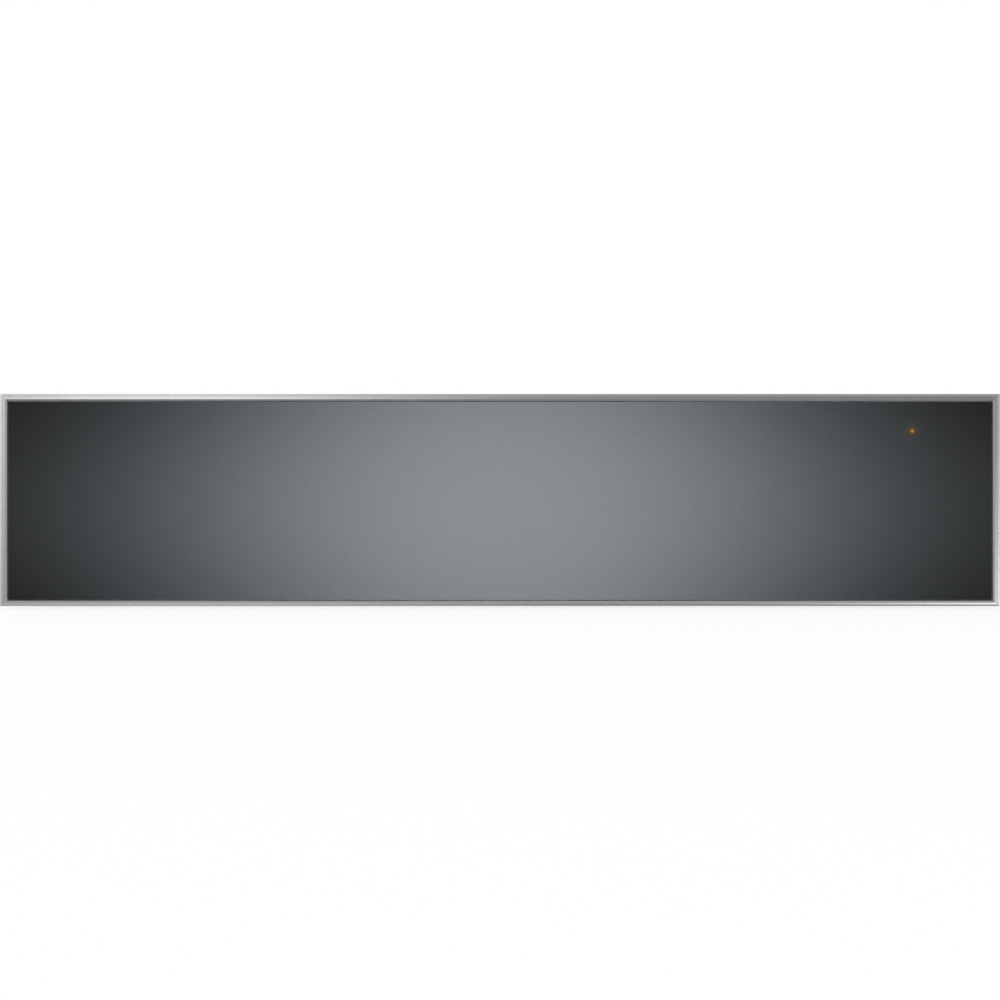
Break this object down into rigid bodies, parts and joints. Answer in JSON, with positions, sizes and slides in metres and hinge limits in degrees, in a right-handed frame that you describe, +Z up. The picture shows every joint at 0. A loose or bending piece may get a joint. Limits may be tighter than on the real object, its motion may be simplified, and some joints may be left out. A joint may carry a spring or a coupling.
{
  "type": "warming drawer",
  "caption": "Push-to-open warming drawer with a plain grey glass front in a thin metal frame, a steel tray on ball-bearing slides and a low sheet-metal housing.",
  "frame": {"origin": "bottom centre of the bounding box, on the surface that the drawer stands on", "axes": "+Z up; the front faces -Y; +X to the right as seen from the front"},
  "size_m": [0.594, 0.55, 0.1275],
  "materials": {
    "zinc_sheet": "zinc-plated sheet, satin",
    "stainless": "fine brushed",
    "frame_metal": "satin anodised",
    "front_glass": "glossy, with a metallic grey backing",
    "base_glass": "satin, dark tinted",
    "slide_steel": "bright zinc",
    "cage_steel": "passivated steel",
    "screw_steel": "bright zinc",
    "pin_metal": "nickel plated",
    "grey_plastic": "moulded",
    "dark_plastic": "moulded",
    "black_plastic": "moulded",
    "white_plastic": "moulded",
    "clear_plastic": "clear",
    "board_plastic": "mixed board parts",
    "circuit_board": "lacquered",
    "lead_sheath": "matte",
    "silicone": "matte",
    "heater_rubber": "matte",
    "insulation_wool": "fibrous",
    "motor_paint": "semi-gloss",
    "white_ceramic": "matte",
    "tan_ceramic": "matte",
    "amber_lens": "translucent",
    "fan_metal": "plain"
  },
  "bodies": {
    "housing": {"housing_base": "zinc_sheet", "housing_side_left": "zinc_sheet", "housing_side_right": "zinc_sheet", "housing_cover": "zinc_sheet", "rear_panel": "zinc_sheet", "housing_screws": "screw_steel", "slide_outer_left": "slide_steel", "slide_outer_right": "slide_steel", "latch_body_left": "grey_plastic", "latch_body_right": "grey_plastic", "mains_inlet": "black_plastic", "inlet_pins": "pin_metal", "power_board": "circuit_board", "board_parts": "board_plastic", "housing_leads": "lead_sheath", "arm_bracket": "zinc_sheet"},
    "drawer": {"drawer_chassis": "zinc_sheet", "drawer_back": "zinc_sheet", "drawer_tub": "stainless", "glass_base": "base_glass", "glass_seal": "silicone", "heater_mat": "heater_rubber", "insulation_mat": "insulation_wool", "slide_inner_left": "slide_steel", "slide_inner_right": "slide_steel", "fan_grille": "stainless", "fan_motor": "motor_paint", "temperature_sensor": "white_ceramic", "thermal_cutout": "tan_ceramic", "latch_strikers": "zinc_sheet", "arm_spigot": "dark_plastic", "drawer_lead": "lead_sheath", "drawer_screws": "screw_steel", "front_carrier": "zinc_sheet", "front_liner": "stainless", "front_glass": "front_glass", "front_frame": "frame_metal", "control_box": "black_plastic", "control_plate": "stainless", "selector_switch": "dark_plastic", "lamp_board": "circuit_board", "light_pipe": "clear_plastic", "lamp_lens": "amber_lens"},
    "slide_middle_left": {"slide_middle_left": "slide_steel"},
    "slide_middle_right": {"slide_middle_right": "slide_steel"},
    "cage_outer_left": {"ball_cage_outer_left": "cage_steel"},
    "cage_outer_right": {"ball_cage_outer_right": "cage_steel"},
    "cage_inner_left": {"ball_cage_inner_left": "cage_steel"},
    "cage_inner_right": {"ball_cage_inner_right": "cage_steel"},
    "latch_left": {"latch_plunger_left": "dark_plastic"},
    "latch_right": {"latch_plunger_right": "dark_plastic"},
    "arm_rear": {"arm_link_rear": "white_plastic", "arm_lead_rear": "lead_sheath", "arm_elbow_pin": "pin_metal"},
    "arm_front": {"arm_link_front": "white_plastic", "arm_lead_front": "lead_sheath"},
    "fan": {"fan_impeller": "fan_metal"},
    "knob": {"temperature_knob": "frame_metal", "knob_spindle": "white_plastic"}
  },
  "joints": [
    {"name": "drawer_slide", "type": "slide", "parent": "housing", "child": "drawer", "axis": [0, -1, 0], "range_m": [-0.0025, 0.42]},
    {"name": "slide_middle_left_run", "type": "slide", "parent": "housing", "child": "slide_middle_left", "axis": [0, -1, 0], "range_m": [-0.00135, 0.2101]},
    {"name": "cage_outer_left_run", "type": "slide", "parent": "housing", "child": "cage_outer_left", "axis": [0, -1, 0], "range_m": [-0.00072, 0.1051]},
    {"name": "cage_inner_left_run", "type": "slide", "parent": "housing", "child": "cage_inner_left", "axis": [0, -1, 0], "range_m": [-0.00198, 0.3151]},
    {"name": "slide_middle_right_run", "type": "slide", "parent": "housing", "child": "slide_middle_right", "axis": [0, -1, 0], "range_m": [-0.00135, 0.2101]},
    {"name": "cage_outer_right_run", "type": "slide", "parent": "housing", "child": "cage_outer_right", "axis": [0, -1, 0], "range_m": [-0.00072, 0.1051]},
    {"name": "cage_inner_right_run", "type": "slide", "parent": "housing", "child": "cage_inner_right", "axis": [0, -1, 0], "range_m": [-0.00198, 0.3151]},
    {"name": "arm_rear_hinge", "type": "hinge", "parent": "housing", "child": "arm_rear", "pos_m": [0.15, -0.02, 0.005], "axis": [0, 0, 1], "range_deg": [-0.29, 41.02]},
    {"name": "arm_elbow_hinge", "type": "hinge", "parent": "arm_rear", "child": "arm_front", "pos_m": [-0.13102, 0.085, 0.01], "axis": [0, 0, -1], "range_deg": [-0.54, 82]},
    {"name": "latch_left_press", "type": "slide", "parent": "housing", "child": "latch_left", "axis": [0, 1, 0], "range_m": [0, 0.003], "stiffness_N_per_m": 400},
    {"name": "latch_right_press", "type": "slide", "parent": "housing", "child": "latch_right", "axis": [0, 1, 0], "range_m": [0, 0.003], "stiffness_N_per_m": 400},
    {"name": "fan_spin", "type": "hinge", "parent": "drawer", "child": "fan", "pos_m": [0, 0.178, 0.07], "axis": [0, 1, 0], "continuous": true},
    {"name": "knob_turn", "type": "hinge", "parent": "drawer", "child": "knob", "pos_m": [0.205, -0.2365, 0.115], "axis": [0, 0, -1], "range_deg": [0, 240]}
  ],
  "couplings": [
    {"joint": "slide_middle_left_run", "follows": "drawer_slide", "ratio": 0.5},
    {"joint": "cage_outer_left_run", "follows": "drawer_slide", "ratio": 0.25},
    {"joint": "cage_inner_left_run", "follows": "drawer_slide", "ratio": 0.75},
    {"joint": "slide_middle_right_run", "follows": "drawer_slide", "ratio": 0.5},
    {"joint": "cage_outer_right_run", "follows": "drawer_slide", "ratio": 0.25},
    {"joint": "cage_inner_right_run", "follows": "drawer_slide", "ratio": 0.75},
    {"joint": "arm_rear_hinge", "follows": "drawer_slide", "rad_per_m": 1.7027},
    {"joint": "arm_elbow_hinge", "follows": "drawer_slide", "rad_per_m": 3.4054}
  ]
}
